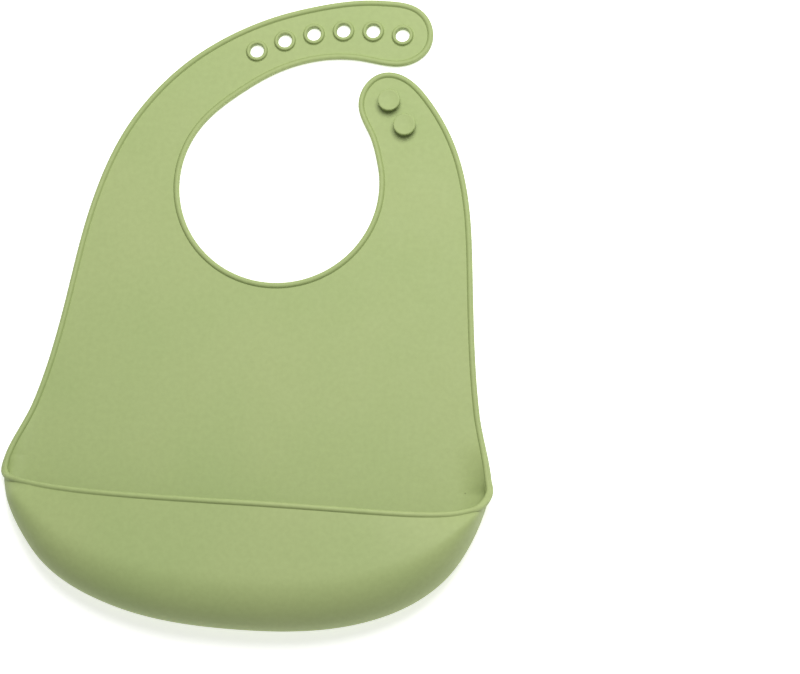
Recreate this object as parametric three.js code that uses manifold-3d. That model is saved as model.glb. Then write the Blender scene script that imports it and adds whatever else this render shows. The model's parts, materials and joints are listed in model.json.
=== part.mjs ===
// A soft silicone baby bib with a crumb pocket, lying on its back. Millimetres, +Z up.
// +Y runs from the pocket to the neck opening and z = 0 is the sheet's flat underside.
// The bib is one moulding: its pieces here are the zones between the lines where it bends,
// with the raised edge bead, the hole collars and the studs as pieces of their own.
import * as THREE from "three";
import { mergeVertices } from "three/addons/utils/BufferGeometryUtils.js";
import Module from "manifold-3d";

const wasm = await Module();
wasm.setup();

// Thicknesses and clearances
const SHEET = 2.2; // flat sheet
const WALL = 2.0; // pocket walls
const BEAD_WIDTH = 2.6; // raised bead along every edge
const BEAD_HEIGHT = 3.4;
const RIM_RADIUS = 1.3; // the bead's round section where it leaves the table
const GAP = 0.3; // between neighbours that touch on the real moulding
const FOOT_GAP = 0.8; // between the back wall and the gutter's slanting foot
const PANEL_FOLD_GAP = 1.0; // at the lines where the panels fold
const STRAP_FOLD_GAP = 2.2; // at the lines where the straps bend both ways

// Neck opening: the straps' bend lines lie along its radii
const NECK = { x: 4.6, y: 57.9, radius: 46.8 };
const LONG_STRAP_ROOT = 152; // degrees round the neck opening
const LONG_STRAP_MIDDLE = 118;
const SHORT_STRAP_ROOT = 12;
const LOW_FOLD_Y = -62; // fold between the pocket's back wall and the lower panel
const MIDDLE_FOLD_Y = -4; // fold between the lower and the upper panel

// Strap holes on an arc, and the two studs that snap into them at the same pitch
const PITCH = 14;
const HOLES = { count: 6, x: -10.8, y: 122.3, heading: 23.4, turn: -7.2 };
const HOLE_RADIUS = 3.3;
const COLLAR_RADIUS = 4.9;
const COLLAR_HEIGHT = 3.9;
const STUDS = { count: 2, x: 53.4, y: 100.3, heading: -55, turn: 0 };
const STUD_STEM_RADIUS = 2.7;
const STUD_HEAD_RADIUS = 5.2;
const STUD_HEAD_THICKNESS = 2.1;
const STUD_HEIGHT = 4.6; // above the sheet

// Pocket: a rounded scoop whose widest line is above the table
const POCKET_HEIGHT = 30;
const BELLY_HEIGHT = 12; // height of the widest line in the middle
const BELLY_CORNER_HEIGHT = 3;
const FRONT_ROUNDING = 0.38; // share of the way in to the rim over which the front wall levels out
const GUTTER_ROUNDING = 12; // how far in from it the gutter meets the back wall
const POCKET_START = 0.025; // share of the pocket's curves where its walls start and end
const FANNING = 0.07; // how much the sections lean inwards near the corners

const SAGE = "#a7b87e";
const rad = THREE.MathUtils.degToRad;

// A point on the edge of the neck opening, with the heading of the edge there.
function onNeck(angle) {
  const x = NECK.x + NECK.radius * Math.cos(rad(angle));
  const y = NECK.y + NECK.radius * Math.sin(rad(angle));
  return [x, y, angle + 90];
}

// Anchors of the free edge: [x, y, heading in degrees], from the pocket's left corner up the
// left side, round the long strap, round the neck and the short strap, down to the right corner.
const EDGE = [
  [-112.4, -84, 90],
  [-101.5, -51.5, 72],
  [-92, -10, 80.5],
  [-83.2, 43, 77],
  [-66.5, 87.5, 59],
  [-34.5, 122.7, 36],
  [8.5, 143.6, 16],
  [46, 149.8, -1],
  [64.5, 146.4, -33],
  [71.5, 131, -98],
  [54, 118, -181],
  [36, 120.2, -184],
  [8, 116, -160],
  [-14, 103.5, -143],
  ...[145, 195, 245, 295, 345, 375].map(onNeck),
  [44.2, 85.6, 120],
  [38.8, 100, 88],
  [53, 114.9, -2],
  [70, 104.8, -49],
  [88.4, 73.3, -70.5],
  [97, 26.2, -85],
  [104.9, -45.2, -80],
  [112.6, -81.5, -90],
];

// Anchors of the pocket's widest line, from the left corner round the bottom to the right one.
const BELLY = [
  [-111, -86, -84],
  [-95, -119, -52],
  [-55, -143.7, -18],
  [0, -151.4, -1],
  [62, -144, 19],
  [100.5, -115.5, 59],
  [112, -84, 79],
];

// The pocket's rim, from corner to corner, as two cubic curves.
const RIM = [
  [[-111, -83, 4], [-110.5, -92.5, 11], [-74, -96.4, 28], [0, -96.8, POCKET_HEIGHT]],
  [[0, -96.8, POCKET_HEIGHT], [88, -97.3, 32.4], [112, -102.4, 23.4], [112.2, -79.1, 9]],
];

// A smooth curve through anchors. Each stretch is the cubic that comes closest to an arc.
function smoothPath(anchors) {
  const path = new THREE.CurvePath();
  anchors.slice(1).forEach((end, i) => {
    const start = anchors[i];
    const turn = Math.abs(THREE.MathUtils.euclideanModulo(end[2] - start[2] + 180, 360) - 180);
    const chord = Math.hypot(end[0] - start[0], end[1] - start[1]);
    const reach = chord / (3 * Math.cos(rad(turn / 4)) ** 2);
    const along = ([x, y, heading], distance) =>
      new THREE.Vector2(
        x + distance * Math.cos(rad(heading)),
        y + distance * Math.sin(rad(heading)),
      );
    path.add(
      new THREE.CubicBezierCurve(along(start, 0), along(start, reach), along(end, -reach), along(end, 0)),
    );
  });
  return path;
}

// Points along a plan curve, moved sideways to the left of its heading.
function offsetPoints(path, spacing, leftwards, from = 0, to = 1) {
  const count = Math.ceil((path.getLength() * (to - from)) / spacing);
  return Array.from({ length: count + 1 }, (_, i) => {
    const t = from + ((to - from) * i) / count;
    const heading = path.getTangent(t);
    const left = new THREE.Vector2(-heading.y, heading.x);
    return path.getPoint(t).addScaledVector(left, leftwards);
  });
}

const edgePath = smoothPath(EDGE);
const bellyPath = smoothPath(BELLY);
const rimPath = new THREE.CurvePath();
RIM.forEach((points) =>
  rimPath.add(new THREE.CubicBezierCurve3(...points.map((p) => new THREE.Vector3(...p)))),
);

// Booleans
function toSolid(geometry) {
  const bare = geometry.clone();
  bare.deleteAttribute("normal");
  bare.deleteAttribute("uv");
  const merged = mergeVertices(bare, 1e-4);
  return new wasm.Manifold(
    new wasm.Mesh({
      numProp: 3,
      vertProperties: merged.getAttribute("position").array,
      triVerts: new Uint32Array(merged.index.array),
    }),
  );
}

function toGeometry(solid) {
  const mesh = solid.getMesh();
  const geometry = new THREE.BufferGeometry();
  geometry.setAttribute("position", new THREE.BufferAttribute(mesh.vertProperties, 3));
  geometry.setIndex(new THREE.BufferAttribute(mesh.triVerts, 1));
  const faceted = geometry.toNonIndexed();
  faceted.computeVertexNormals();
  return faceted;
}

// The body of a cut solid with the corner nearest to a point in plan.
function bodyNear(bodies, x, y) {
  const distance = (body) => {
    const { vertProperties } = body.getMesh();
    let nearest = Infinity;
    for (let i = 0; i < vertProperties.length; i += 3) {
      nearest = Math.min(nearest, Math.hypot(vertProperties[i] - x, vertProperties[i + 1] - y));
    }
    return nearest;
  };
  return bodies.reduce((best, body) => (distance(body) < distance(best) ? body : best));
}

const extrude = (points, depth) =>
  new THREE.ExtrudeGeometry(new THREE.Shape(points), { depth, bevelEnabled: false });

// A thin upright cutter along a line in plan, through (x, y) at an angle in degrees.
function slot(x, y, angle, length, width) {
  const height = 20;
  return toSolid(new THREE.BoxGeometry(length, width, height).rotateZ(rad(angle)).translate(x, y, 0));
}

// The cutters at every line where the sheet bends.
function foldSlots() {
  const acrossStrap = (angle) => {
    const middle = NECK.radius + 20;
    const x = NECK.x + middle * Math.cos(rad(angle));
    const y = NECK.y + middle * Math.sin(rad(angle));
    return slot(x, y, angle, 60, STRAP_FOLD_GAP);
  };
  return [
    slot(0, LOW_FOLD_Y, 0, 300, PANEL_FOLD_GAP),
    slot(0, MIDDLE_FOLD_Y, 0, 300, PANEL_FOLD_GAP),
    acrossStrap(LONG_STRAP_ROOT),
    acrossStrap(LONG_STRAP_MIDDLE),
    acrossStrap(SHORT_STRAP_ROOT),
  ];
}

// A row of places a pitch apart, along an arc that turns by the same angle each step.
function places({ count, x, y, heading, turn }) {
  const found = [];
  for (let i = 0; i < count; i += 1) {
    found.push(new THREE.Vector2(x, y));
    x += PITCH * Math.cos(rad(heading + turn * i));
    y += PITCH * Math.sin(rad(heading + turn * i));
  }
  return found;
}

// The whole flat sheet inside the bead, before the fold lines cut it.
function wholeSheet() {
  const inside = offsetPoints(edgePath, 4, -(BEAD_WIDTH + GAP));
  const bottom = pocketStations().map((u) => gutterFoot(u, FOOT_GAP));
  let sheet = toSolid(extrude([...inside, ...bottom.reverse()], SHEET));
  for (const { x, y } of places(HOLES)) {
    const bore = new THREE.CylinderGeometry(COLLAR_RADIUS + GAP, COLLAR_RADIUS + GAP, 20, 20);
    sheet = sheet.subtract(toSolid(bore.rotateX(rad(90)).translate(x, y, 0)));
  }
  return sheet;
}

// The raised bead along the free edge. It stays open at the bottom, where the pocket is.
function wholeBead() {
  const outer = offsetPoints(edgePath, 4, 0);
  const inner = offsetPoints(edgePath, 4, -BEAD_WIDTH);
  const below = 20;
  inner[0].y -= below;
  inner[inner.length - 1].y -= below;
  const cutter = extrude(inner, 3 * BEAD_HEIGHT).translate(0, 0, -BEAD_HEIGHT);
  return toSolid(extrude(outer, BEAD_HEIGHT)).subtract(toSolid(cutter));
}

const cutAtFolds = (solid) => foldSlots().reduce((rest, cutter) => rest.subtract(cutter), solid).decompose();

// The shares of the way round the pocket at which its sections stand.
function pocketStations() {
  const steps = 36;
  return Array.from({ length: steps + 1 }, (_, i) =>
    THREE.MathUtils.lerp(POCKET_START, 1 - POCKET_START, i / steps),
  );
}

// One section of the pocket, from its widest line inwards: the point at share u of the way
// from the left corner to the right one, the direction to the rim, and the room up to it.
function pocketStation(u) {
  const widest = bellyPath.getPoint(u);
  const rim = rimPath.getPoint(u + FANNING * Math.sin(2 * Math.PI * u));
  const inwards = new THREE.Vector2(rim.x, rim.y).sub(widest);
  const rise = Math.sin(Math.PI * u);
  return {
    x: widest.x,
    y: widest.y,
    z: THREE.MathUtils.lerp(BELLY_CORNER_HEIGHT, BELLY_HEIGHT, rise),
    rimHeight: rim.z,
    room: inwards.length(),
    inwards: inwards.normalize(),
  };
}

// A point of a section and the point under it on the wall's inner face.
function wallPair(station, across, z, normalAcross, normalZ) {
  const size = Math.hypot(normalAcross, normalZ);
  const at = (thickness) => {
    const reach = across + (thickness * normalAcross) / size;
    return new THREE.Vector3(
      station.x + station.inwards.x * reach,
      station.y + station.inwards.y * reach,
      z + (thickness * normalZ) / size,
    );
  };
  return [at(0), at(WALL)];
}

// The front wall: up from the widest line in a quarter of an ellipse, then level to the rim.
function frontWallSection(u) {
  const station = pocketStation(u);
  const width = FRONT_ROUNDING * station.room;
  const height = station.rimHeight - RIM_RADIUS - station.z;
  const base = station.z + GAP / 2;
  const pairs = [0, 18, 36, 54, 72, 90].map((angle) => {
    const [c, s] = [Math.cos(rad(angle)), Math.sin(rad(angle))];
    return wallPair(station, width * (1 - c), base + height * s, c / width, -s / height);
  });
  const level = station.room - RIM_RADIUS - GAP;
  for (const share of [0.35, 0.7, 1]) {
    pairs.push(wallPair(station, THREE.MathUtils.lerp(width, level, share), base + height, 0, -1));
  }
  return pairs;
}

const gutterWidth = (station) => Math.min(GUTTER_ROUNDING, 0.4 * station.room);

// Where the gutter meets the back wall, or a little further in, in plan.
function gutterFoot(u, further) {
  const station = pocketStation(u);
  const reach = gutterWidth(station) + further;
  return new THREE.Vector2(station.x, station.y).addScaledVector(station.inwards, reach);
}

// The gutter: down from the widest line and in under the pocket to the back wall.
function gutterSection(u) {
  const station = pocketStation(u);
  const width = gutterWidth(station);
  const top = station.z - GAP / 2;
  return [90, 72, 54, 36, 18, 0].map((angle) => {
    const [c, s] = [Math.cos(rad(angle)), Math.sin(rad(angle))];
    return wallPair(station, width * (1 - c), top * (1 - s), c / width, s / top);
  });
}

// A closed wall from rows of [outer, inner] points, with its four sides closed.
function closedWall(rows) {
  const across = rows[0].length;
  const vertices = rows.flatMap((row) => row.flatMap(([outer, inner]) => [outer.toArray(), inner.toArray()]));
  const index = (row, column, face) => 2 * (row * across + column) + face;
  const triangles = [];
  const quad = (a, b, c, d) => triangles.push(a, b, c, a, c, d);
  const last = { row: rows.length - 1, column: across - 1 };
  for (let r = 0; r < last.row; r += 1) {
    for (let c = 0; c < last.column; c += 1) {
      quad(index(r, c, 0), index(r + 1, c, 0), index(r + 1, c + 1, 0), index(r, c + 1, 0));
      quad(index(r, c, 1), index(r, c + 1, 1), index(r + 1, c + 1, 1), index(r + 1, c, 1));
    }
    quad(index(r, 0, 0), index(r, 0, 1), index(r + 1, 0, 1), index(r + 1, 0, 0));
    const c = last.column;
    quad(index(r, c, 0), index(r + 1, c, 0), index(r + 1, c, 1), index(r, c, 1));
  }
  for (let c = 0; c < last.column; c += 1) {
    quad(index(0, c, 0), index(0, c + 1, 0), index(0, c + 1, 1), index(0, c, 1));
    const r = last.row;
    quad(index(r, c, 0), index(r, c, 1), index(r, c + 1, 1), index(r, c + 1, 0));
  }
  const geometry = new THREE.BufferGeometry();
  geometry.setAttribute("position", new THREE.Float32BufferAttribute(vertices.flat(), 3));
  geometry.setIndex(triangles);
  const faceted = geometry.toNonIndexed();
  faceted.computeVertexNormals();
  return faceted;
}

const pocketWall = (section) => closedWall(pocketStations().map(section));

// A round bead along a curve in space.
function roundBead(curve, steps) {
  const sides = 8;
  const circle = Array.from({ length: sides }, (_, i) => {
    const angle = (2 * Math.PI * i) / sides;
    return new THREE.Vector2(RIM_RADIUS * Math.cos(angle), RIM_RADIUS * Math.sin(angle));
  });
  return new THREE.ExtrudeGeometry(new THREE.Shape(circle), { extrudePath: curve, steps });
}

// The part of the rim between two shares of its length.
function rimStretch(from, to, count) {
  return Array.from({ length: count + 1 }, (_, i) =>
    rimPath.getPoint(THREE.MathUtils.lerp(from, to, i / count)),
  );
}

const RIM_SPLIT = 0.038; // share of the rim at each end that stays with the pocket's corner

const rimBead = () =>
  roundBead(new THREE.CatmullRomCurve3(rimStretch(RIM_SPLIT, 1 - RIM_SPLIT, 60)), 80);

// The bead from the low fold down the side, round the corner and up on to the rim.
function cornerBead(side) {
  const left = side === "left";
  const start = LOW_FOLD_Y - PANEL_FOLD_GAP;
  const flat = offsetPoints(edgePath, 3, -BEAD_WIDTH / 2)
    .filter((p) => p.y < start && p.x < 0 === left)
    .sort((a, b) => b.y - a.y)
    .slice(0, -1)
    .map((p) => new THREE.Vector3(p.x, p.y, BEAD_HEIGHT / 2));
  const length = RIM_SPLIT - 0.004;
  const rising = left ? rimStretch(0, length, 4) : rimStretch(1, 1 - length, 4);
  return roundBead(new THREE.CatmullRomCurve3([...flat, ...rising]), 18);
}

// A collar that lines one strap hole and stands above the sheet.
function collar() {
  const edge = 0.6; // rounding of the top
  const profile = [
    [HOLE_RADIUS, 0],
    [COLLAR_RADIUS, 0],
    [COLLAR_RADIUS, COLLAR_HEIGHT - edge],
    [COLLAR_RADIUS - edge, COLLAR_HEIGHT],
    [HOLE_RADIUS + edge, COLLAR_HEIGHT],
    [HOLE_RADIUS, COLLAR_HEIGHT - edge],
    [HOLE_RADIUS, 0],
  ];
  return new THREE.LatheGeometry(profile.map((p) => new THREE.Vector2(...p)), 20).rotateX(rad(90));
}

// A mushroom stud: a stem with a wider, flat-topped head.
function stud() {
  const edge = 0.6;
  const neck = STUD_HEIGHT - STUD_HEAD_THICKNESS;
  const profile = [
    [0, 0],
    [STUD_STEM_RADIUS, 0],
    [STUD_STEM_RADIUS, neck],
    [STUD_HEAD_RADIUS - edge, neck],
    [STUD_HEAD_RADIUS, neck + edge],
    [STUD_HEAD_RADIUS, STUD_HEIGHT - edge],
    [STUD_HEAD_RADIUS - edge, STUD_HEIGHT],
    [0, STUD_HEIGHT],
  ];
  return new THREE.LatheGeometry(profile.map((p) => new THREE.Vector2(...p)), 24).rotateX(rad(90));
}

// Assembly
const bib = new THREE.Group();

function zone() {
  const group = new THREE.Group();
  bib.add(group);
  return group;
}

function add(group, name, geometry) {
  const silicone = new THREE.MeshStandardMaterial({ color: SAGE, roughness: 0.6, metalness: 0 });
  const mesh = new THREE.Mesh(geometry, silicone);
  mesh.name = name;
  group.add(mesh);
  return mesh;
}

const sheets = cutAtFolds(wholeSheet());
const beads = cutAtFolds(wholeBead());
const addCut = (group, name, bodies, x, y) => add(group, name, toGeometry(bodyNear(bodies, x, y)));

const pocket = zone();
addCut(pocket, "pocket_back_wall", sheets, 0, -139);
add(pocket, "pocket_gutter", pocketWall(gutterSection));
add(pocket, "pocket_corner_bead_left", cornerBead("left"));
add(pocket, "pocket_corner_bead_right", cornerBead("right"));

const pocketFront = zone();
add(pocketFront, "pocket_front_wall", pocketWall(frontWallSection));
add(pocketFront, "pocket_rim_bead", rimBead());

const lowerPanel = zone();
addCut(lowerPanel, "lower_panel_sheet", sheets, -94, -33);
addCut(lowerPanel, "lower_panel_bead_left", beads, -98, -33);
addCut(lowerPanel, "lower_panel_bead_right", beads, 103, -33);

const upperPanel = zone();
addCut(upperPanel, "upper_panel_sheet", sheets, -82, 30);
addCut(upperPanel, "upper_panel_bead_left", beads, -86, 30);
addCut(upperPanel, "upper_panel_bead_right", beads, 97, 30);
addCut(upperPanel, "neck_bead", beads, 4, 11);

const longStrapBase = zone();
addCut(longStrapBase, "long_strap_base_sheet", sheets, -46, 108);
addCut(longStrapBase, "long_strap_base_bead_outer", beads, -48, 111);
addCut(longStrapBase, "long_strap_base_bead_inner", beads, -27, 91);

const longStrapEnd = zone();
addCut(longStrapEnd, "long_strap_end_sheet", sheets, 66, 132);
addCut(longStrapEnd, "long_strap_end_bead", beads, 71, 132);
places(HOLES).forEach(({ x, y }, i) =>
  add(longStrapEnd, `hole_collar_${i + 1}`, collar()).position.set(x, y, 0),
);

const shortStrap = zone();
addCut(shortStrap, "short_strap_sheet", sheets, 53, 108);
addCut(shortStrap, "short_strap_bead", beads, 53, 114);
places(STUDS).forEach(({ x, y }, i) =>
  add(shortStrap, `stud_${i + 1}`, stud()).position.set(x, y, SHEET + GAP),
);

export default bib;
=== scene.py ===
"""Looks of the silicone bib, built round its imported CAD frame.

Shapes are worked out in millimetres and turned into metres when a mesh is made. The bib is one
middle surface, which is given its thickness and cut into zones where the CAD bodies meet, with a
bead swept round its whole free edge and with the hole collars and the studs as pieces of their own.
"""
import json
import math

import bmesh
import bpy
import numpy as np
from mathutils import Matrix, Vector
from mathutils.bvhtree import BVHTree
from mathutils.geometry import delaunay_2d_cdt


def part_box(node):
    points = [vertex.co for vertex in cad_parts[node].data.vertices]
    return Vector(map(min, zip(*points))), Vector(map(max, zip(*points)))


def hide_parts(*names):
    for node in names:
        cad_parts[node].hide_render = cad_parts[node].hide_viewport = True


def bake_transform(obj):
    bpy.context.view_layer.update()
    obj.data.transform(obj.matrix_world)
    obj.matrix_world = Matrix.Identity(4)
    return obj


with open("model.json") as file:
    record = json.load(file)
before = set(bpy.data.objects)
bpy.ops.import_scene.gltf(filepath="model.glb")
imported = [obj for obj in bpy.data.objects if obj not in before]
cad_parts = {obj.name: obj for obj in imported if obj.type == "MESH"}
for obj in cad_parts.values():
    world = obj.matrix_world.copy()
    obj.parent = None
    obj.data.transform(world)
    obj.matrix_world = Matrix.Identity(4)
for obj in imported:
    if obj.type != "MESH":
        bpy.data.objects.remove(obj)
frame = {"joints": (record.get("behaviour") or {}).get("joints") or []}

MM = 0.001
UP = np.array([0.0, 0.0, 1.0])
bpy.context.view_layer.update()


# ---------------------------------------------------------------- sizes read from the frame
def node_box(node):
    """Lowest and highest corner of a CAD node, in millimetres."""
    low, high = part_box(node)
    return np.array(low) / MM, np.array(high) / MM


def joint_line(name):
    """A joint's place in millimetres, its axis, and the level direction from parent to child."""
    joint = next(j for j in frame["joints"] if j["name"] == name)
    axis = np.array(joint["axis"], float)
    return np.array(joint["pos_m"]) / MM, axis, np.cross(UP, axis)


SHEET = node_box("lower_panel_sheet")[1][2]
HALF = SHEET / 2
BEAD_HEIGHT = node_box("neck_bead")[1][2]
STUD_BASE, STUD_TOP = (corner[2] for corner in node_box("stud_1"))
STUD_RADIUS = (node_box("stud_1")[1][0] - node_box("stud_1")[0][0]) / 2
COLLAR_RADIUS = (node_box("hole_collar_1")[1][0] - node_box("hole_collar_1")[0][0]) / 2
COLLAR_TOP = node_box("hole_collar_1")[1][2]
HOLES = [sum(node_box(f"hole_collar_{i}"))[:2] / 2 for i in range(1, 7)]
STUDS = [sum(node_box(f"stud_{i}"))[:2] / 2 for i in range(1, 3)]

# ---------------------------------------------------------------- sizes of the moulding
BEAD_WIDTH = 2.6
BEAD_ROUND = BEAD_WIDTH / 2
RIM_INSIDE = 1.4  # how far the rim's bead stands from the wall's middle, inside the pocket
RIM_OUTSIDE = 2.0  # and outside it
SHEET_INSET = 1.8  # the sheet ends this far inside the outline, within the bead
BEAD_FILLET = 0.3  # share of the bead's height that the fillet at its foot takes
LEAST_FILLET = 0.15  # the fillet reaches at least this far from the bead
BEAD_BEHIND = 0.01  # how far the bead stands behind the flat sheet
BURIED = 0.3  # the bead's foot reaches this far into the sheet
PROUD_ROLL = math.radians(70)  # rolled this far, the bead stands proud on both sides
HOLE_RADIUS = 3.3
STEM_RADIUS = 2.7

SEAM_Y = -76.0  # the pocket's own mesh starts below this line
LOWER_CUT_Y = -33.0  # cut between the two halves of the chest panel
STRAPS_PART_X = 30.0  # the long strap is left of this line and the short one right of it
STRAPS_PART_Y = 116.5  # but above this line there is only the long strap
CURL_START_Y = -48.0  # the side edges curl up below this line
CORNER_Y = -84.0
CURL_HEIGHT = {"left": 3.2, "right": 7.4}
CURL_WIDTH = {"left": 9.0, "right": 14.0}
CURL_TURN = math.radians(60)  # how steeply the curl ends at the seam
LEAST_CURL_TURN = 0.4  # share of that turn that the curl has where it starts

BELLY_HEIGHT = 12.0
GUTTER_WIDTH = 13.0
FRONT_ROUNDING = 0.38  # share of the way in to the rim over which the front wall levels out
CORNER_TURN_Y = {"left": -78.0, "right": -75.0}  # the bead leaves the side edges here
RIM_START = 0.035  # share of the rim's curve at each end that the corner's turn takes
CORNER_FLATNESS = 0.05  # share of the pocket at each end in which the front wall is flatter
FANNING = 0.06  # share of the rim's length by which the front wall's sections lean inwards
NECK = {"x": 4.6, "y": 57.9, "radius": 46.8}

STRAP_REACH = 10.0  # and a strap's bend this much
CUT_MARGIN = 2.5  # the cuts at the straps' roots stand this far clear of their bends

# ---------------------------------------------------------------- fineness of the meshes
GRID = 2.6  # spacing of the sheet's vertices
OUTLINE_STEP = 2.0  # spacing of the vertices on the sheet's edge
RING_STEP = 1.6  # spacing of the bead's sections
SIDE_POINTS = 700  # this many points from each end of the sheet's outline take in its curl
SAME_PLACE = 0.03  # vertices nearer to each other than this become one
SHARP_CORNER = math.radians(50)  # faces that meet at more than this are not shaded as one
FEELER = 2.6  # how far from the bead's middle the surface it joins is looked for
PASSES = 4  # how often the bead's sections are evened out with their neighbours


def on_neck(angle):
    """An anchor on the edge of the neck opening."""
    turned = math.radians(angle)
    x = NECK["x"] + NECK["radius"] * math.cos(turned)
    y = NECK["y"] + NECK["radius"] * math.sin(turned)
    return x, y, angle + 90


# Anchors of the outline, as in part.mjs: x, y and heading in degrees, clockwise from the left corner.
EDGE = [
    (-112.4, -84, 90),
    (-101.5, -51.5, 72),
    (-92, -10, 80.5),
    (-83.2, 43, 77),
    (-66.5, 87.5, 59),
    (-34.5, 122.7, 36),
    (8.5, 143.6, 16),
    (46, 149.8, -1),
    (64.5, 146.4, -33),
    (71.5, 131, -98),
    (54, 118, -181),
    (36, 120.2, -184),
    (8, 116, -160),
    (-14, 103.5, -143),
    *[on_neck(angle) for angle in (145, 195, 245, 295, 345, 375)],
    (44.2, 85.6, 120),
    (38.8, 100, 88),
    (53, 114.9, -2),
    (70, 104.8, -49),
    (88.4, 73.3, -70.5),
    (97, 26.2, -85),
    (104.9, -45.2, -80),
    (112.6, -81.5, -90),
]

# Anchors of the pocket's widest line, from the left corner round the bottom to the right one.
BELLY = [
    (-111, -86, -84),
    (-95, -119, -52),
    (-55, -143.7, -18),
    (0, -151.4, -1),
    (62, -144, 19),
    (100.5, -115.5, 59),
    (112.2, -84, 79),
]

# The pocket's rim from the left corner to the right one, as two cubic curves.
RIM = [
    [(-111, -83, 4), (-110.5, -92.5, 11), (-74, -96.4, 28), (0, -96.8, 30)],
    [(0, -96.8, 30), (88, -97.3, 32.4), (112, -102.4, 23.4), (112.2, -79.1, 9)],
]


# ---------------------------------------------------------------- curves
def lerp(a, b, share):
    """The value at a share of the way from a to b."""
    return a + (b - a) * share


def smooth(share):
    """A share from 0 to 1 that leaves 0 and reaches 1 gently."""
    share = np.clip(share, 0, 1)
    return share * share * (3 - 2 * share)


def unit(vectors):
    """Vectors brought to length 1."""
    return vectors / np.linalg.norm(vectors, axis=-1, keepdims=True)


def cubic(points, count=120):
    """Points along one cubic curve, without its last one."""
    p = np.array(points, float)
    t = np.linspace(0, 1, count, endpoint=False)[:, None]
    return (1 - t) ** 3 * p[0] + 3 * t * (1 - t) ** 2 * p[1] + 3 * t * t * (1 - t) * p[2] + t**3 * p[3]


def smooth_path(anchors):
    """A dense line through anchors. Each stretch is the cubic that comes closest to an arc."""
    stretches = []
    for (x0, y0, h0), (x1, y1, h1) in zip(anchors, anchors[1:]):
        turn = math.radians(abs((h1 - h0 + 180) % 360 - 180))
        reach = math.hypot(x1 - x0, y1 - y0) / (3 * math.cos(turn / 4) ** 2)
        c0, s0 = math.cos(math.radians(h0)), math.sin(math.radians(h0))
        c1, s1 = math.cos(math.radians(h1)), math.sin(math.radians(h1))
        handles = [(x0 + reach * c0, y0 + reach * s0), (x1 - reach * c1, y1 - reach * s1)]
        stretches.append(cubic([(x0, y0), *handles, (x1, y1)]))
    return np.vstack([*stretches, [anchors[-1][:2]]])


def along(line):
    """Distance of each point of a line from its start."""
    return np.concatenate([[0], np.cumsum(np.linalg.norm(np.diff(line, axis=0), axis=1))])


def at_shares(line, shares):
    """The points at shares of a line's length."""
    distance = along(line)
    wanted = np.clip(shares, 0, 1) * distance[-1]
    return np.stack([np.interp(wanted, distance, line[:, k]) for k in range(line.shape[1])], 1)


def even(line, spacing):
    """Evenly spaced points along a line, about this far apart."""
    count = max(2, round(along(line)[-1] / spacing))
    return at_shares(line, np.linspace(0, 1, count + 1))


def moved_right(line, distance):
    """A plan line moved sideways to the right of its heading."""
    heading = unit(np.gradient(line, axis=0))
    return line + distance * np.stack([heading[:, 1], -heading[:, 0]], 1)


def clipped(line):
    """The stretch of the outline above the pocket's seam, with its ends exactly on the seam."""
    above = np.flatnonzero(line[:, 1] > SEAM_Y)
    ends = []
    for inside, outside in ((above[0], above[0] - 1), (above[-1], above[-1] + 1)):
        share = (SEAM_Y - line[outside, 1]) / (line[inside, 1] - line[outside, 1])
        ends.append(lerp(line[outside], line[inside], share))
    return np.vstack([ends[0], line[above[0] : above[-1] + 1], ends[1]])


edge_line = smooth_path(EDGE)
sheet_line = clipped(moved_right(edge_line, SHEET_INSET))
rim_line = np.vstack([cubic(RIM[0]), cubic(RIM[1]), [RIM[1][-1]]])


# ---------------------------------------------------------------- the middle surface
def curl_rise(y):
    """0 where the side edges start to curl up, 1 at the pocket's corners."""
    return smooth((CURL_START_Y - y) / (CURL_START_Y - CORNER_Y))


def curl_turn(y):
    """The slope at the top of the curl, in radians."""
    share = (CURL_START_Y - y) / (CURL_START_Y - SEAM_Y)
    return CURL_TURN * np.clip(share, LEAST_CURL_TURN, 1)


def curl_profile(inside, width, height, turn):
    """Height of an elliptic curl at a distance inside its top edge."""
    sine = np.clip(1 - inside / width, 0, 1) * np.sin(turn)
    return height * (1 - np.sqrt(1 - sine**2)) / (1 - np.cos(turn))


def sheet_height(points):
    """Height of the sheet's middle surface over points in plan."""
    x, y = points[:, 0], points[:, 1]
    height = np.full(len(points), HALF)
    ends = {"left": sheet_line[:SIDE_POINTS], "right": sheet_line[-SIDE_POINTS:][::-1]}
    for side, end in ends.items():
        near = end[end[:, 1] < 0]
        inside = np.abs(x - np.interp(y, near[:, 1], near[:, 0]))
        curled = (x < 0) if side == "left" else (x > 0)
        rise = CURL_HEIGHT[side] * curl_rise(y)
        profile = curl_profile(inside, CURL_WIDTH[side], rise, curl_turn(y))
        height += np.where(curled & (y < CURL_START_Y), profile, 0)
    return height


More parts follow.
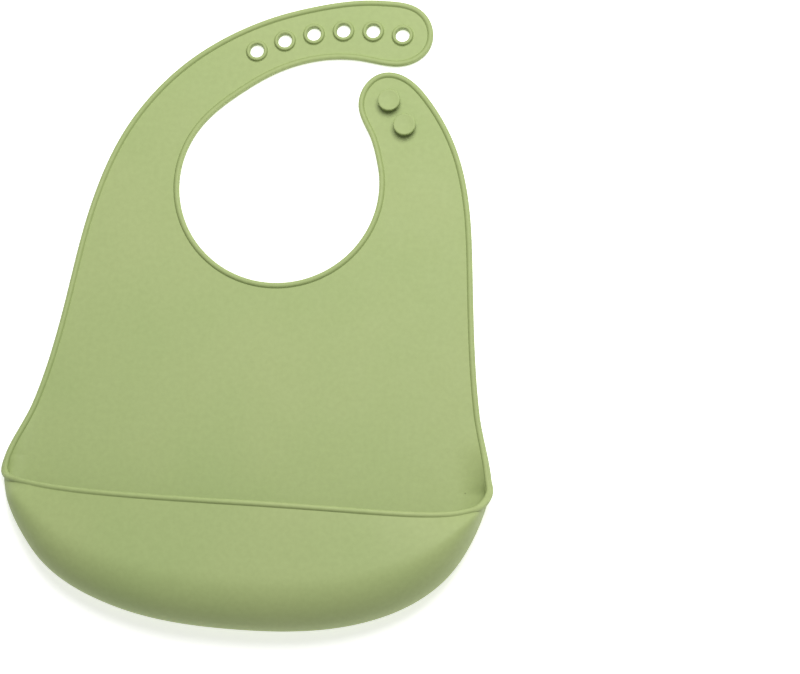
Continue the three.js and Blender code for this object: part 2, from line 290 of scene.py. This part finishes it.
def pocket_stations(side_count=5, round_count=125):
    """Sections round the pocket from seam to seam: place and height of the widest line, the
    direction inwards, the gutter's width and the share of the way from corner to corner."""
    inset = []
    for x, y, heading in BELLY:
        turned = math.radians(heading)
        inset.append((x - HALF * math.sin(turned), y + HALF * math.cos(turned), heading))
    ends = [(*sheet_line[0], -90), (*sheet_line[-1], 90)]
    line = smooth_path([ends[0], *inset, ends[1]])
    distance = along(line)
    corners = [distance[np.argmin(np.linalg.norm(line - inset[k][:2], axis=1))] for k in (0, -1)]
    side = np.linspace(0, 1, side_count)
    around = np.linspace(0, 1, round_count)
    wanted = np.concatenate([
        lerp(0, corners[0], side)[:-1],
        lerp(corners[0], corners[1], around),
        lerp(corners[1], distance[-1], side)[1:],
    ])
    place = at_shares(line, wanted / distance[-1])
    heading = unit(np.gradient(place, axis=0))
    inwards = np.stack([-heading[:, 1], heading[:, 0]], 1)
    inwards[0], inwards[-1] = (1, 0), (-1, 0)
    share = (wanted - corners[0]) / (corners[1] - corners[0])
    level = np.clip(share, 0, 1)
    swell = np.sin(np.pi * level)
    corner = lerp(CURL_HEIGHT["left"], CURL_HEIGHT["right"], level)
    height = np.where(
        (share < 0) | (share > 1),
        HALF + corner * curl_rise(place[:, 1]),
        lerp(HALF + corner, BELLY_HEIGHT, swell),
    )
    width = lerp(lerp(CURL_WIDTH["left"], CURL_WIDTH["right"], level), GUTTER_WIDTH, swell)
    to_seam = np.minimum(wanted / corners[0], (distance[-1] - wanted) / (distance[-1] - corners[1]))
    turn = lerp(CURL_TURN, math.pi / 2, smooth(to_seam))
    return [
        {"place": p, "inwards": i, "height": h, "width": w, "turn": t, "share": s}
        for p, i, h, w, t, s in zip(place, inwards, height, width, turn, share)
    ]


def gutter_section(station, columns=11):
    """Points from the gutter's foot on the back wall up to the widest line."""
    rise = station["height"] - HALF
    points = []
    for angle in np.linspace(0, station["turn"], columns):
        inside = station["width"] * (1 - math.sin(angle) / math.sin(station["turn"]))
        height = HALF + rise * (1 - math.cos(angle)) / (1 - math.cos(station["turn"]))
        points.append([*(station["place"] + inside * station["inwards"]), height])
    return np.array(points)


def front_section(station, round_columns=12, level_columns=10):
    """Points from the widest line up and over to the rim, without the first one."""
    share = station["share"]
    lean = share + FANNING * math.sin(2 * math.pi * share)
    rim = at_shares(rim_line, np.array([lerp(RIM_START, 1 - RIM_START, lean)]))[0]
    across = rim[:2] - station["place"]
    room = np.linalg.norm(across)
    width = FRONT_ROUNDING * room
    rise = rim[2] - station["height"]
    end = room - BEAD_ROUND / 2
    swell = smooth(min(share, 1 - share) / CORNER_FLATNESS)
    around = np.linspace(0, math.pi / 2, round_columns + 1)[1:]
    level = np.linspace(width, end, level_columns + 1)[1:]
    reach = np.concatenate([width * (1 - np.cos(around)), level])
    bulge = np.concatenate([np.sin(around), np.ones(level_columns)])
    place = station["place"] + reach[:, None] * across / room
    return np.column_stack([place, station["height"] + rise * lerp(reach / end, bulge, swell)])


def inside_loop(points, loop):
    """Which points lie inside a closed plan outline, by counting crossings."""
    x, y = points[:, 0], points[:, 1]
    found = np.zeros(len(points), bool)
    for (x0, y0), (x1, y1) in zip(loop, np.roll(loop, -1, axis=0)):
        if y0 != y1:
            crosses = (y0 > y) != (y1 > y)
            found ^= crosses & (x < (x1 - x0) * (y - y0) / (y1 - y0) + x0)
    return found


def far_from(points, others, distance):
    """The points that are farther than a distance from every one of the others."""
    nearest = np.full(len(points), np.inf)
    for other in others:
        nearest = np.minimum(nearest, np.hypot(*(points - other).T))
    return points[nearest > distance]


def cut_lines():
    """The lines in plan where the bib's meshes are cut, all on stretches that never bend: the
    middle of each line, its direction and the level direction ahead, towards the strap's end."""
    root, root_axis, root_ahead = joint_line("long_strap_root_bend")
    short, short_axis, short_ahead = joint_line("short_strap_bend")
    middle = joint_line("long_strap_middle_bend")[0]
    neck = np.array([NECK["x"], NECK["y"]])
    halfway = unit(unit(root[:2] - neck) + unit(middle[:2] - neck))
    clear = STRAP_REACH + CUT_MARGIN
    return {
        "strap_root": ((root - clear * root_ahead)[:2], root_axis[:2], root_ahead[:2]),
        "strap_end": (
            neck + np.linalg.norm(root[:2] - neck) * halfway,
            halfway,
            np.array([halfway[1], -halfway[0]]),
        ),
        "short_strap": ((short - clear * short_ahead)[:2], short_axis[:2], short_ahead[:2]),
    }


CUTS = cut_lines()


def zone_at(x, y):
    """The zone of a place on the sheet."""
    if y < SEAM_Y:
        return "pocket"
    if y < LOWER_CUT_Y:
        return "lower"

    def past(name):
        middle, _, ahead = CUTS[name]
        return (x - middle[0]) * ahead[0] + (y - middle[1]) * ahead[1] > 0

    if (x < STRAPS_PART_X or y > STRAPS_PART_Y) and past("strap_root"):
        return "strap_end" if past("strap_end") else "strap_root"
    if x > STRAPS_PART_X and past("short_strap"):
        return "short_strap"
    return "upper"


def flat_region(stations):
    """Triangles of the sheet down to the gutter's foot: points in plan and corner numbers."""
    outline = even(sheet_line, OUTLINE_STEP)
    first, last = gutter_section(stations[0])[:, :2], gutter_section(stations[-1])[:, :2]
    foot = np.array([gutter_section(s)[0, :2] for s in stations])
    outline = np.vstack([outline, last[::-1][1:], foot[::-1][1:-1], first[:-1]])
    points = [Vector(p) for p in outline]
    edges = [(i, (i + 1) % len(outline)) for i in range(len(outline))]

    def add_line(line, closed=False):
        start = len(points)
        points.extend(Vector(p) for p in line)
        edges.extend((start + i, start + i + 1) for i in range(len(line) - 1))
        if closed:
            edges.append((len(points) - 1, start))

    # The sheet's own holes end halfway across their collars.
    sheet_hole, hole_corners = (HOLE_RADIUS + COLLAR_RADIUS) / 2, 32
    turns = np.linspace(0, 2 * math.pi, hole_corners, endpoint=False)
    for hole in HOLES:
        add_line(hole + sheet_hole * np.stack([np.cos(turns), np.sin(turns)], 1), closed=True)

    # The cuts and the seam: across the whole bib, or only across a strap.
    panel_span, strap_span, seam_points = 130, 42, 80
    reach = np.arange(-panel_span, panel_span + 1, GRID)[:, None]
    lines = [
        reach * [1, 0] + [0, LOWER_CUT_Y],
        lerp(first[0], last[0], np.linspace(0, 1, seam_points)[:, None]),
    ]
    near = reach[np.abs(reach[:, 0]) < strap_span]
    lines += [middle + near * direction for middle, direction, _ in CUTS.values()]
    for line in lines:
        add_line(line)

    # Two rings of vertices follow the edge, and a square grid fills the rest.
    ring_step, ring_insets = 2.2, (1.2, 2.8)
    rings = [moved_right(even(sheet_line, ring_step), inside) for inside in ring_insets]
    half_length, half_width = 150, 114
    rows = np.arange(-half_length, half_length, GRID)
    columns = np.arange(-half_width, half_width, GRID)
    grid = np.array([(x, y) for y in rows for x in columns])
    grid = grid[inside_loop(grid, outline)]
    from_edge, from_line = 1.7 * GRID, 0.5 * GRID
    grid = far_from(grid, even(outline, OUTLINE_STEP), from_edge)
    grid = far_from(grid, np.vstack(lines), from_line)
    grid = far_from(grid, HOLES, sheet_hole + from_line)
    points.extend(Vector(p) for p in np.vstack([*rings, grid]))

    inside_edges, nearness = 1, 1e-4
    found, _, faces, *_ = delaunay_2d_cdt(points, edges, [], inside_edges, nearness, False)
    flat = np.array(found)
    centres = np.array([flat[f].mean(0) for f in faces])
    keep = inside_loop(centres, outline)
    just_inside = 0.99
    for hole in HOLES:
        keep &= np.hypot(*(centres - hole).T) > sheet_hole * just_inside
    return flat, [f for f, kept in zip(faces, keep) if kept]


def middle_surface():
    """The bib's middle surface as one mesh: the sheet, the gutter and the front wall."""
    stations = pocket_stations()
    flat, triangles = flat_region(stations)
    surface = bmesh.new()

    def add_faces(points, faces):
        made = [surface.verts.new(p) for p in points]
        for face in faces:
            surface.faces.new([made[i] for i in face])

    add_faces(np.column_stack([flat, sheet_height(flat)]), triangles)
    gutter = [gutter_section(s) for s in stations]
    add_faces(*grid_faces(gutter))
    walled = [(s, g) for s, g in zip(stations, gutter) if 0 <= s["share"] <= 1]
    add_faces(*grid_faces([np.vstack([g[-1:], front_section(s)]) for s, g in walled]))
    bmesh.ops.remove_doubles(surface, verts=surface.verts[:], dist=SAME_PLACE)
    loose = [v for v in surface.verts if not v.link_faces]
    bmesh.ops.delete(surface, geom=loose, context="VERTS")
    surface.normal_update()
    surface.verts.index_update()
    return surface


def grid_faces(rows):
    """Points and quads of a grid whose columns run away from the sheet's middle."""
    across = len(rows[0])
    faces = [
        (i * across + j, i * across + j + 1, (i + 1) * across + j + 1, (i + 1) * across + j)
        for i in range(len(rows) - 1)
        for j in range(across - 1)
    ]
    return np.vstack(rows), faces


# ---------------------------------------------------------------- pieces
def make_piece(name, points, faces, zone, replaced):
    """A closed mesh in metres, smooth but for its sharp corners, with its place baked in."""
    mesh = bpy.data.meshes.new(name)
    mesh.from_pydata([tuple(p) for p in np.asarray(points) * MM], [], [tuple(f) for f in faces])
    mesh.validate()
    mesh.shade_smooth()
    mesh.set_sharp_from_angle(angle=SHARP_CORNER)
    piece = bpy.data.objects.new(name, mesh)
    bpy.context.scene.collection.objects.link(piece)
    mesh.materials.append(SILICONE)
    follow(piece, zone)
    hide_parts(*replaced)


def follow(piece, zone):
    """Bakes the piece's place into its mesh, the same way for every zone."""
    if zone == "pocket":
        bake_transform(piece)
        return
    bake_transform(piece)


def thick_zone(surface, zone):
    """The closed solid that a zone of the middle surface becomes when it is given its thickness."""
    chosen = [f for f in surface.faces if zone_of_face(f) == zone]
    used = {}
    for face in chosen:
        for v in face.verts:
            used.setdefault(v.index, len(used))
    by_index = {v.index: v for f in chosen for v in f.verts}
    middle = np.array([by_index[i].co for i in used])
    normal = np.array([by_index[i].normal for i in used])
    count = len(used)
    points = np.vstack([middle + HALF * normal, middle - HALF * normal])
    faces, sides = [], set()
    for face in chosen:
        corners = [used[v.index] for v in face.verts]
        faces.append(corners)
        faces.append([c + count for c in reversed(corners)])
        sides.update(zip(corners, corners[1:] + corners[:1]))
    faces += [(b, a, a + count, b + count) for a, b in sorted(sides) if (b, a) not in sides]
    return points, faces


def zone_of_face(face):
    """The zone that the middle of a face lies in."""
    centre = face.calc_center_median()
    return zone_at(centre.x, centre.y)


# ---------------------------------------------------------------- the bead
def bead_line():
    """The bead's closed middle line, clockwise: up the left side, round the straps and the neck,
    down the right side, and back along the pocket's rim. Also how far each point has turned
    over, from 0 on the flat sheet to 1 on the rim."""
    plan = moved_right(edge_line, BEAD_ROUND)
    plan = plan[plan[:, 1] > np.where(plan[:, 0] < 0, CORNER_TURN_Y["left"], CORNER_TURN_Y["right"])]
    side = np.where(plan[:, 0] < 0, CURL_HEIGHT["left"], CURL_HEIGHT["right"])
    edge = np.column_stack([plan, HALF + side * curl_rise(plan[:, 1])])
    rim_count, corner_count, corner_reach = 500, 40, 0.45
    rim = at_shares(rim_line, np.linspace(1 - RIM_START, RIM_START, rim_count))

    def corner(start, beyond_start, end, beyond_end):
        """A turn between two curves, given the end of each and the way that each one goes on."""
        reach = corner_reach * np.linalg.norm(end - start)
        leave = start + reach * unit(beyond_start - start)
        arrive = end + reach * unit(beyond_end - end)
        return cubic([start, leave, arrive, end], corner_count)[1:]

    right = corner(edge[-1], 2 * edge[-1] - edge[-4], rim[0], 2 * rim[0] - rim[3])
    left = corner(rim[-1], 2 * rim[-1] - rim[-4], edge[0], 2 * edge[0] - edge[3])
    dense = np.vstack([edge, right, rim, left, edge[:1]])
    line = even(dense, RING_STEP)[:-1]
    distance = along(np.vstack([line, line[:1]]))
    total, distance = distance[-1], distance[:-1]
    shares = along(dense) / total
    right_corner = total * shares[len(edge) + len(right) // 2]
    left_corner = total * shares[len(edge) + len(right) + len(rim) + len(left) // 2]
    lead, lag = 26, 22  # it turns over this far before the middle of a corner and this far after
    into = smooth((distance - right_corner + lead) / (lead + lag))
    out = smooth((left_corner + lead - distance) / (lead + lag))
    wrapped = smooth((left_corner - total + lead - distance) / (lead + lag))
    return line, np.maximum(np.minimum(into, out), wrapped)


def bead_flank(top, round_count=12):
    """One side of the bead's section, from its fillet on the sheet up and over to its outer
    edge: distances into the sheet and away from the sheet's middle."""
    centre = top - BEAD_ROUND
    rise = BEAD_FILLET * (top - HALF)
    start = math.asin(min(1.0, (HALF + rise - centre) / BEAD_ROUND))
    flank = BEAD_ROUND * math.cos(start)
    knee = max(flank + rise * math.tan(start), flank + LEAST_FILLET)
    toe = max(2 * knee - flank, SHEET_INSET - BEAD_ROUND)
    high, low = centre + BEAD_ROUND * math.sin(start), HALF
    points = []
    for t in (0, 0.3, 0.6):
        into = (1 - t) ** 2 * toe + 2 * t * (1 - t) * knee + t * t * flank
        away = (1 - t) ** 2 * low + 2 * t * (1 - t) * low + t * t * high
        points.append((into, away))
    for angle in np.linspace(start, math.pi, round_count):
        points.append((BEAD_ROUND * math.cos(angle), centre + BEAD_ROUND * math.sin(angle)))
    return np.array(points)


def bead_section(turned, gap):
    """The bead's closed section. Its foot is buried in the sheet, and reaches farther where
    there is a gap between the bead's middle and the sheet."""
    front = bead_flank(lerp(BEAD_HEIGHT - HALF, RIM_INSIDE, turned))
    back = bead_flank(lerp(HALF + BEAD_BEHIND, RIM_OUTSIDE, turned)) * (1, -1)
    surplus = 1.5
    reach = BURIED + surplus * max(gap - 2 * BURIED, 0)
    foot = [back[0] + (reach, BURIED), front[0] + (reach, -BURIED)]
    return np.vstack([front, back[::-1], foot])


def bead_rings(surface):
    """The bead's sections round the whole outline, and the zone of each. Every section is rolled
    to point into the sheet or the wall that it edges."""
    line, turned = bead_line()
    ahead = unit(np.roll(line, -1, axis=0) - np.roll(line, 1, axis=0))
    level = unit(np.cross(ahead, UP))
    skin = BVHTree.FromBMesh(surface)
    rolls = np.array([wall_roll(skin, *place) for place in zip(line, level, turned)])
    gaps = np.array([skin.find_nearest(Vector(centre))[3] for centre in line])
    for _ in range(PASSES):
        rolls = (np.roll(rolls, 1) + rolls + np.roll(rolls, -1)) / 3
        gaps = (np.roll(gaps, 1) + gaps + np.roll(gaps, -1)) / 3
    inwards = np.cos(rolls)[:, None] * level - np.sin(rolls)[:, None] * UP
    inwards = unit(inwards - (inwards * ahead).sum(1)[:, None] * ahead)
    front = np.cross(inwards, ahead)
    rings, zones = [], []
    for centre, i, n, roll, gap in zip(line, inwards, front, rolls, gaps):
        section = bead_section(smooth(roll / PROUD_ROLL), gap)
        rings.append(centre + section[:, :1] * i + section[:, 1:] * n)
        zones.append(zone_at(*centre[:2]))
    return rings, zones


def wall_roll(skin, centre, level, turned):
    """The roll, in radians, that points a section of the bead into the surface beside it. Of
    rolls that do so equally well, the nearest to the expected one is taken."""
    guess = math.pi * turned
    search, step, preference = 60, 3, 0.02
    best = (np.inf, guess)
    for roll in guess + np.radians(np.arange(-search, search + 1, step)):
        tip = centre + FEELER * (math.cos(roll) * level - math.sin(roll) * UP)
        away = skin.find_nearest(Vector(tip))[3]
        best = min(best, (away + preference * abs(roll - guess), roll))
    return best[1]


# The bead's stretches in the order they come round the outline, each with the nodes it replaces.
BEADS = [
    ("lower_bead_left", "lower_panel_bead_left"),
    ("upper_bead_left", "upper_panel_bead_left"),
    ("strap_root_bead_outer", "long_strap_base_bead_outer"),
    ("strap_end_bead", "long_strap_end_bead"),
    ("strap_root_bead_inner", "long_strap_base_bead_inner"),
    ("neck_edge_bead", "neck_bead"),
    ("short_strap_edge_bead", "short_strap_bead"),
    ("upper_bead_right", "upper_panel_bead_right"),
    ("lower_bead_right", "lower_panel_bead_right"),
    ("pocket_edge_bead", "pocket_rim_bead", "pocket_corner_bead_left", "pocket_corner_bead_right"),
]


def make_beads(surface):
    """The bead cut into its stretches, one wherever it goes from one zone into the next."""
    rings, zones = bead_rings(surface)
    first = next(i for i, z in enumerate(zones) if z == "lower" and zones[i - 1] == "pocket")
    rings, zones = rings[first:] + rings[:first], zones[first:] + zones[:first]
    starts = [i for i in range(len(zones)) if i == 0 or zones[i] != zones[i - 1]]
    sides = len(rings[0])
    for (name, *replaced), start, end in zip(BEADS, starts, [*starts[1:], len(zones)]):
        stretch = rings[start:end] + [rings[end % len(rings)]]
        faces = []
        for i in range(len(stretch) - 1):
            here, there = i * sides, (i + 1) * sides
            for j in range(sides):
                k = (j + 1) % sides
                faces.append((here + j, here + k, there + k, there + j))
        last = (len(stretch) - 1) * sides
        faces += [tuple(range(sides))[::-1], tuple(last + j for j in range(sides))]
        make_piece(name, np.vstack(stretch), faces, zones[start], replaced)


def make_sheets(surface):
    """The sheet of each zone, with the nodes it replaces."""
    sheets = {
        "pocket": ("pocket_shell", "pocket_back_wall", "pocket_gutter", "pocket_front_wall"),
        "lower": ("lower_sheet", "lower_panel_sheet"),
        "upper": ("upper_sheet", "upper_panel_sheet"),
        "strap_root": ("strap_root_sheet", "long_strap_base_sheet"),
        "strap_end": ("strap_end_sheet", "long_strap_end_sheet"),
        "short_strap": ("short_strap_panel", "short_strap_sheet"),
    }
    for zone, (name, *replaced) in sheets.items():
        points, faces = thick_zone(surface, zone)
        make_piece(name, points, faces, zone, replaced)


# ---------------------------------------------------------------- collars and studs
def arc(centre, radius, start, end, steps=5):
    """Points of an arc in a turned profile, from one angle in degrees to another."""
    angles = np.radians(np.linspace(start, end, steps + 1))
    return [(centre[0] + radius * math.cos(a), centre[1] + radius * math.sin(a)) for a in angles]


def make_turned(name, centre, profile, zone, replaced, closed):
    """A solid of revolution. A profile that isn't closed starts and ends on the axis."""
    steps = 48
    turns = np.linspace(0, 2 * math.pi, steps, endpoint=False)
    body = profile if closed else profile[1:-1]
    points = [
        (centre[0] + r * math.cos(a), centre[1] + r * math.sin(a), z)
        for a in turns
        for r, z in body
    ]
    count = len(body)
    faces = []
    for i in range(steps):
        here, there = i * count, (i + 1) % steps * count
        for j in range(count if closed else count - 1):
            k = (j + 1) % count
            faces.append((here + j, there + j, there + k, here + k))
    if not closed:
        for end, column in ((profile[0], 0), (profile[-1], count - 1)):
            points.append((*centre, end[1]))
            for i in range(steps):
                fan = (i * count + column, (i + 1) % steps * count + column, len(points) - 1)
                faces.append(fan[::-1] if column == 0 else fan)
    make_piece(name, points, faces, zone, replaced)


def make_collars():
    """A rounded lip round each strap hole, which also lines the hole."""
    lip = (COLLAR_RADIUS - HOLE_RADIUS) / 2
    middle = HOLE_RADIUS + lip
    foot = 0.6
    profile = [
        *arc((COLLAR_RADIUS + foot, SHEET + foot), foot, 270, 180),
        *arc((middle, COLLAR_TOP - lip), lip, 0, 180, 10),
        *arc((HOLE_RADIUS + foot, foot), foot, 180, 270),
        (middle, 0.0),
        (middle + lip, HALF),
    ]
    for i, hole in enumerate(HOLES, 1):
        make_turned(f"strap_hole_lip_{i}", hole, profile[::-1], "strap_end", [f"hole_collar_{i}"], True)


def make_studs():
    """Mushroom studs: a round stem and a flat head with a slightly raised, rounded rim."""
    head, edge, dish = 2.1, 0.6, 0.13
    foot, throat, sunk = 0.7, 0.4, 1
    rim_inside, dish_start, rim_fall = 0.95, 1.35, 0.02
    under = STUD_TOP - head
    profile = [
        (0, STUD_BASE - sunk),
        (STEM_RADIUS + foot, STUD_BASE - sunk),
        *arc((STEM_RADIUS + foot, SHEET + foot), foot, 270, 180),
        *arc((STEM_RADIUS + throat, under - throat), throat, 180, 90, 3),
        *arc((STUD_RADIUS - edge, under + edge), edge, 270, 360),
        *arc((STUD_RADIUS - edge, STUD_TOP - edge), edge, 0, 90),
        (STUD_RADIUS - rim_inside, STUD_TOP - rim_fall),
        (STUD_RADIUS - dish_start, STUD_TOP - dish),
        (0, STUD_TOP - dish),
    ]
    for i, stud in enumerate(STUDS, 1):
        make_turned(f"strap_stud_{i}", stud, profile, "short_strap", [f"stud_{i}"], False)


# ---------------------------------------------------------------- material
def silicone():
    """Matte sage green silicone: faint mottling, a fine moulded texture and uneven gloss."""
    material = bpy.data.materials.new("sage_silicone")
    material.use_nodes = True
    nodes, links = material.node_tree.nodes, material.node_tree.links
    shader = nodes["Principled BSDF"]
    place = nodes.new("ShaderNodeTexCoord")

    def noise(scale, detail):
        made = nodes.new("ShaderNodeTexNoise")
        made.inputs["Scale"].default_value = scale
        made.inputs["Detail"].default_value = detail
        links.new(place.outputs["Object"], made.inputs["Vector"])
        return made.outputs["Fac"]

    def ramp(source, low, high, start=0.3, end=0.7):
        made = nodes.new("ShaderNodeValToRGB")
        made.color_ramp.elements[0].position = start
        made.color_ramp.elements[1].position = end
        made.color_ramp.elements[0].color = (*low, 1)
        made.color_ramp.elements[1].color = (*high, 1)
        links.new(source, made.inputs["Fac"])
        return made.outputs["Color"]

    deep_sage, pale_sage = (0.355, 0.440, 0.176), (0.378, 0.452, 0.188)
    darker, lighter = (0.97, 0.97, 0.965), (1.03, 1.03, 1.035)
    broad = ramp(noise(scale=14, detail=2), deep_sage, pale_sage)
    fine = ramp(noise(scale=420, detail=3), darker, lighter)
    mix = nodes.new("ShaderNodeMix")
    mix.data_type = "RGBA"
    mix.blend_type = "MULTIPLY"
    mix.inputs["Factor"].default_value = 1.0
    links.new(broad, mix.inputs["A"])
    links.new(fine, mix.inputs["B"])
    links.new(mix.outputs["Result"], shader.inputs["Base Color"])

    gloss = nodes.new("ShaderNodeMapRange")
    gloss.inputs["To Min"].default_value = 0.50
    gloss.inputs["To Max"].default_value = 0.62
    links.new(noise(scale=90, detail=4), gloss.inputs["Value"])
    links.new(gloss.outputs["Result"], shader.inputs["Roughness"])

    bump = nodes.new("ShaderNodeBump")
    bump.inputs["Strength"].default_value = 0.12
    bump.inputs["Distance"].default_value = 0.0001
    links.new(noise(scale=2600, detail=3), bump.inputs["Height"])
    links.new(bump.outputs["Normal"], shader.inputs["Normal"])
    shader.inputs["Specular IOR Level"].default_value = 0.25
    return material


# ---------------------------------------------------------------- stage
def make_floor():
    """A plain white floor, slightly self-lit so that it stays as white as the photo's background."""
    mesh = bpy.data.meshes.new("floor")
    reach = 6.0
    corners = [(-reach, -reach, 0), (reach, -reach, 0), (reach, reach, 0), (-reach, reach, 0)]
    mesh.from_pydata(corners, [], [(0, 1, 2, 3)])
    floor = bpy.data.objects.new("floor", mesh)
    bpy.context.scene.collection.objects.link(floor)
    material = bpy.data.materials.new("pale_floor")
    material.use_nodes = True
    shader = material.node_tree.nodes["Principled BSDF"]
    shader.inputs["Base Color"].default_value = (0.92, 0.92, 0.92, 1)
    shader.inputs["Emission Color"].default_value = (1, 1, 1, 1)
    shader.inputs["Emission Strength"].default_value = 0.58
    shader.inputs["Roughness"].default_value = 0.9
    mesh.materials.append(material)


def area_light(name, place, target, size, power):
    """A disk light at a place, turned towards a target."""
    light = bpy.data.lights.new(name, "AREA")
    light.shape = "DISK"
    light.size = size
    light.energy = power
    lamp = bpy.data.objects.new(name, light)
    bpy.context.scene.collection.objects.link(lamp)
    lamp.location = place
    lamp.rotation_euler = (Vector(target) - Vector(place)).to_track_quat("-Z", "Y").to_euler()


def make_lights():
    """One disk light above and beyond the neck, and a dim white surround."""
    world = bpy.data.worlds.new("studio")
    bpy.context.scene.world = world
    world.use_nodes = True
    world.node_tree.nodes["Background"].inputs["Color"].default_value = (1, 1, 1, 1)
    world.node_tree.nodes["Background"].inputs["Strength"].default_value = 0.24
    area_light("key", place=(0.15, 0.34, 0.85), target=(0.0, 0.0, 0.0), size=0.6, power=8.7)
    bpy.context.scene.view_settings.view_transform = "Standard"


def make_camera():
    """The photograph's view: from above, tilted towards the pocket and the right, a little rolled."""
    distance = 1.42
    tilt, side, roll = math.radians(13), math.radians(-67.4), math.radians(4)
    target = Vector((0.0659, -0.0109, 0.0))
    level = Vector((math.cos(side), math.sin(side), 0))
    back = level * math.sin(tilt) + Vector((0, 0, math.cos(tilt)))
    top = Vector((-math.sin(roll), math.cos(roll), 0))
    right = top.cross(back).normalized()
    camera = bpy.data.objects.new("camera", bpy.data.cameras.new("camera"))
    bpy.context.scene.collection.objects.link(camera)
    axes = Matrix((right, back.cross(right), back)).transposed()
    camera.matrix_world = Matrix.Translation(target + distance * back) @ axes.to_4x4()
    camera.data.lens = 138.9
    camera.data.sensor_width = 36
    bpy.context.scene.camera = camera


SILICONE = silicone()
bib = middle_surface()
make_sheets(bib)
make_beads(bib)
bib.free()
make_collars()
make_studs()
make_floor()
make_lights()
make_camera()
